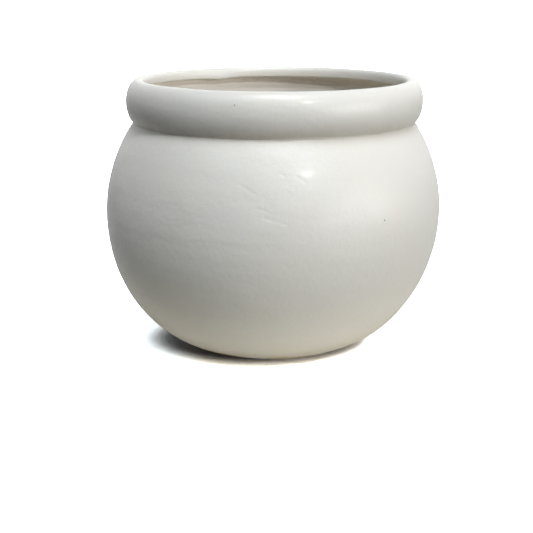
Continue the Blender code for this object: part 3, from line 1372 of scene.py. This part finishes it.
@dataclass(frozen=True)
class RolledRim(TurnedPiece):
    """The rim's clay: a roll, open to the inside, whose lip hangs free in the mouth."""

    name: str = "rim_roll"
    node: str = "rolled_rim"
    slot: Slot = Slot.RIM_CLAY
    columns: int = 384
    outer_rows: int = 44
    face_rows: int = 22
    edge_rows: int = 18
    hollow_rows: int = 84
    hollow_radius: float = 0.1565
    crest_thickness: float = 0.0078
    drag_pitch: float = 0.0062
    drag_height: float = 0.00012
    drag_starts: int = 2
    bare_start: float = 0.006
    joint_clear: float = 0.002
    joint_fade: float = 0.010
    swell: Waves = Waves(seed=31, wavelength=0.045, height=0.00040)
    # top of the painted light: the lip's shadow line on the hollow, with pale clay below it
    painted_light_top: float = 0.2868

    def outline(self) -> np.ndarray:
        """Up the outside, over the crest, round the lip's edge, and up and down the hollow to the neck.

        The hollow begins as half a circle. Below it the radius nears the neck's by sin^2 of a quarter turn
        times the share of the way down.

        Returns:
            An array of (radius, height) rows.
        """
        form = self.form
        joint = form.joint_height + form.joint_gap
        side = form.outside(form.belly_height)
        outer = sunk(side[side[:, 1] > joint], form.glaze)[::-1]
        face = sunk(form.lip_face(), form.glaze)[::-1]
        edge = form.lip_edge(180.0, 360.0, form.glaze)
        back = edge[-1, 0]
        half_gap = (self.hollow_radius - back) / 2
        top = form.crest_height - self.crest_thickness - half_gap
        vault = ellipse((back + half_gap, top), half_gap, half_gap, 180.0, 0.0)
        share = np.linspace(0.0, 1.0, self.hollow_rows)
        eased = np.sin(math.pi / 2 * share) ** 2
        radius = self.hollow_radius + (form.neck_radius - self.hollow_radius) * eased
        height = form.roll_height + (joint - form.roll_height) * share
        hollow = np.concatenate([vault, paired(radius, height)])
        open_ends = [(outer, self.outer_rows), (face, self.face_rows), (edge, self.edge_rows)]
        parts = [respaced(part, rows)[:-1] for part, rows in open_ends]
        return np.concatenate([*parts, respaced(hollow, self.hollow_rows)])

    def relief(self, sheet: Sheet) -> np.ndarray:
        """Slow swells and a thumb's spiral drag on the bare side, none where it meets glaze or the joint.

        The drag is the sine of the length along the outline over drag_pitch plus drag_starts angles.

        Args:
            sheet: The turned outline.

        Returns:
            How far the surface stands out at each row and column.
        """
        form = self.form
        lip_radius, lip_height = form.lip_centre
        start = sheet.along_at((lip_radius, lip_height - form.lip_round + form.glaze))
        bare = smooth_step(sheet.along, start, start + self.bare_start)
        joint = form.joint_height
        free = smooth_step(sheet.height, joint + self.joint_clear, joint + self.joint_fade)
        drag = np.sin(math.tau * sheet.along / self.drag_pitch + sheet.angle * self.drag_starts)
        return (self.swell.at(sheet.points()) + self.drag_height * drag) * bare * free

    def clay(self) -> RawClay:
        """Warm bare clay, a little paler than the belly's and washed pale under the lip: partly painted
        light.
        """
        return RawClay(
            name="rim_clay",
            # paler than the belly's clay, which lightens the shaded band inside the lip: painted light
            light=(0.890, 0.850, 0.780),
            dark=(0.810, 0.765, 0.690),
            grog=(0.910, 0.880, 0.820),
            # pale clay under the lip's shadow line stands in for sunlit clay: painted light
            wash_and_painted_light=WashAndPaintedLight(PALE_WASH_AND_PAINTED_LIGHT, self.painted_light_top, 0.0),
        )


@dataclass(frozen=True)
class FootRing(TurnedPiece):
    """The ring that the pot stands on, with worn round edges."""

    name: str = "standing_ring"
    node: str = "foot_ring"
    slot: Slot = Slot.FOOT_CLAY
    columns: int = 256
    side_rows: int = 8
    edge: float = 0.0014
    flat_below: float = 0.0004
    worn_above: float = 0.0022
    wear: Waves = Waves(seed=41, wavelength=0.016, height=0.00018)

    def outline(self) -> np.ndarray:
        """Four straight sides, joined by quarter circles.

        Returns:
            An array of (radius, height) rows.
        """
        out, high, edge = self.form.foot_radius, self.form.foot_height, self.edge
        into = out - self.form.foot_width
        corners = [
            ellipse((out - edge, high - edge), edge, edge, 90.0, 0.0),
            ellipse((out - edge, edge), edge, edge, 0.0, -90.0),
            ellipse((into + edge, edge), edge, edge, 270.0, 180.0),
            ellipse((into + edge, high - edge), edge, edge, 180.0, 90.0),
        ]
        sides = [np.stack([a[-1], b[0]]) for a, b in zip(corners, corners[1:] + corners[:1])]
        parts = [part for pair in zip(corners, sides) for part in pair]
        return np.concatenate([respaced(part, self.side_rows)[:-1] for part in parts])

    def relief(self, sheet: Sheet) -> np.ndarray:
        """Rubbed unevenness that leaves the standing face flat."""
        return self.wear.at(sheet.points()) * smooth_step(sheet.height, self.flat_below, self.worn_above)

    def clay(self) -> RawClay:
        """Darker clay, rubbed and a little dusty."""
        return RawClay(
            name="foot_clay",
            light=(0.600, 0.520, 0.400),
            dark=(0.440, 0.360, 0.265),
            grog=(0.720, 0.650, 0.540),
            roughness=0.9,
        )


class Seam(Enum):
    """The two joints that slip fills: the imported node, and how far its bead stands in and out."""

    RIM = ("rim_luting_slip", 0.0010, 0.0004)
    FOOT = ("foot_luting_slip", 0.0008, 0.0008)


@dataclass(frozen=True, kw_only=True)
class LutingSlip(TurnedPiece):
    """A ring of slip between two pieces, pressed out of its joint in a soft uneven bead."""

    slot: Slot = Slot.LUTING_SLIP
    columns: int = 256
    inside: float
    outside: float
    low: float
    high: float
    bead_inside: float
    bead_outside: float
    side_rows: int = 10
    squeeze: Waves = Waves(seed=51, wavelength=0.022, height=0.00025)

    def outline(self) -> np.ndarray:
        """A flat layer that ends inside and outside in half an ellipse.

        Returns:
            An array of (radius, height) rows.
        """
        middle, half = (self.low + self.high) / 2, (self.high - self.low) / 2
        outer = ellipse((self.outside, middle), self.bead_outside, half, 90.0, -90.0)
        inner = ellipse((self.inside, middle), self.bead_inside, half, 270.0, 90.0)
        under = np.array([[self.outside, self.low], [self.inside, self.low]])
        over = np.array([[self.inside, self.high], [self.outside, self.high]])
        return np.concatenate([respaced(side, self.side_rows)[:-1] for side in (outer, under, inner, over)])

    def relief(self, sheet: Sheet) -> np.ndarray:
        """The bead swells and shrinks round the ring, where its surface faces in or out."""
        return self.squeeze.at(sheet.points()) * np.abs(sheet.normal[:, :1])

    def clay(self) -> RawClay:
        """Slip a little darker than the clay."""
        return RawClay(
            name="luting_slip",
            light=(0.600, 0.510, 0.385),
            dark=(0.480, 0.395, 0.290),
            grog=(0.660, 0.585, 0.470),
            streak_contrast=0.40,
        )

    @classmethod
    def filling(cls, seam: Seam, form: PotForm, hand: Hand) -> "LutingSlip":
        """The slip ring of a seam, as high as its gap, between the pieces that it joins.

        Args:
            seam: Which joint it fills.
            form: The pot's outline.
            hand: The maker's unevenness.

        Returns:
            The piece, not yet built.
        """
        node, bead_inside, bead_outside = seam.value
        low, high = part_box(node)
        at_rim = seam is Seam.RIM
        return cls(
            form=form,
            hand=hand,
            name=node + "_bead",
            node=node,
            inside=form.neck_radius if at_rim else form.foot_radius - form.foot_width,
            outside=high.x if at_rim else form.foot_radius,
            low=low.z - SEAM_OVERLAP,
            high=high.z + SEAM_OVERLAP,
            bead_inside=bead_inside,
            bead_outside=bead_outside,
        )


@dataclass(frozen=True)
class SoftLamp:
    """A distant soft lamp, as wide in the pot's sky as a studio's panel is.

    Azimuth 0 is the camera's side and 90 the right, all in degrees. A wide lamp's middle may be below the
    horizon, and then the floor hides its lower half.
    """

    name: str
    azimuth: float
    elevation: float
    width: float
    strength: float
    colour: Colour = (1.0, 1.0, 1.0)
    distance: float = 3.0

    def build(self) -> bpy.types.Object:
        """Hangs the lamp.

        Returns:
            The lamp.
        """
        light = bpy.data.lights.new(self.name, "SUN")
        light.angle = math.radians(self.width)
        light.energy = self.strength
        light.color = self.colour
        lamp = placed(self.name, light)
        around, up = math.radians(self.azimuth), math.radians(self.elevation)
        towards = Vector((math.sin(around) * math.cos(up), -math.cos(around) * math.cos(up), math.sin(up)))
        lamp.rotation_euler = towards.to_track_quat("Z", "Y").to_euler()
        lamp.location = towards * self.distance
        return lamp


@dataclass(frozen=True)
class Studio:
    """The floor, the surround, the lamps and the camera."""

    lamps: tuple[SoftLamp, ...] = (
        SoftLamp("key", 28.0, 37.0, 5.0, 0.79),
        SoftLamp("overhead", 10.0, 65.0, 22.0, 0.99, (0.90, 0.93, 1.00)),
        SoftLamp("zenith", 0.0, 78.0, 22.0, 0.82, (0.98, 0.98, 1.00)),
        SoftLamp("low_right", 61.0, -12.0, 60.0, 4.60, (1.00, 0.98, 0.94)),
        SoftLamp("left_fill", -42.0, 56.0, 30.0, 0.38, (0.86, 0.96, 1.00)),
        SoftLamp("back_fill", 170.0, 20.0, 50.0, 0.22),
    )
    surround: Colour = (0.04, 0.04, 0.04)
    camera_place: Place = (-0.005, -1.328, 0.4285)
    camera_fall: float = 14.3
    camera_lens: float = 79.3
    camera_sensor: float = 36.0
    floor_half: float = 30.0

    def build_floor(self) -> bpy.types.Object:
        """Lays a wide level floor under the pot.

        Returns:
            The floor.
        """
        corner = self.floor_half
        mesh = bpy.data.meshes.new("floor")
        corners = [(-corner, -corner, 0), (corner, -corner, 0), (corner, corner, 0), (-corner, corner, 0)]
        mesh.from_pydata(corners, [], [(0, 1, 2, 3)])
        mesh.materials.append(PaleFloor().material())
        floor = placed("floor", mesh)
        floor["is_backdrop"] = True
        return floor

    def build_surround(self) -> bpy.types.World:
        """Sets up faint even light from all round, which the camera and the glaze's shine see as white.

        Returns:
            The world.
        """
        world = bpy.data.worlds.new("studio")
        shader = Shader(world)
        sky = shader.two_faced("ShaderNodeBackground", self.surround, (1.0, 1.0, 1.0), mirrored=True)
        shader.end(sky, "ShaderNodeOutputWorld")
        bpy.context.scene.world = world
        return world

    def build_camera(self) -> bpy.types.Object:
        """Sets up the camera, level from side to side and tilted down towards the pot.

        Returns:
            The camera.
        """
        lens = bpy.data.cameras.new("camera")
        lens.lens = self.camera_lens
        lens.sensor_width = self.camera_sensor
        lens.clip_end = 2 * self.floor_half
        camera = placed("camera", lens)
        camera.location = self.camera_place
        camera.rotation_euler = Euler((math.radians(90.0 - self.camera_fall), 0.0, 0.0))
        bpy.context.scene.camera = camera
        return camera

    def build(self) -> None:
        """Sets up everything around the pot and the plain view transform."""
        self.build_floor()
        self.build_surround()
        self.build_camera()
        for lamp in self.lamps:
            lamp.build()
        bpy.context.scene.view_settings.view_transform = "Standard"


def pot_pieces() -> list[TurnedPiece]:
    """Sets out the pot's pieces from the inside out.

    Returns:
        The pieces, not yet built.
    """
    form = PotForm.from_frame()
    hand = Hand(form)
    return [
        ThrownBelly(form, hand),
        RolledRim(form, hand),
        FootRing(form, hand),
        LutingSlip.filling(Seam.RIM, form, hand),
        LutingSlip.filling(Seam.FOOT, form, hand),
        GlazeSkin(form, hand),
    ]


def write_sizes() -> None:
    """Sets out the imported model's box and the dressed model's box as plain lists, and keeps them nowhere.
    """
    boxes = {"cad": cad_box, "visual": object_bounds()}
    {name: [list(corner) for corner in box] for name, box in boxes.items()}


def main() -> None:
    """Builds the studio and the pot's pieces in order and reports each."""
    logging.basicConfig(level=logging.INFO, format="%(message)s")
    Studio().build()
    for piece in pot_pieces():
        made = piece.build()
        quads, height = len(made.data.polygons), made.dimensions.z * MILLIMETRES
        LOG.info("%s stands for %s: %d quads, %.1f mm high", made.name, piece.node, quads, height)
    write_sizes()


if __name__ == "__main__":
    main()
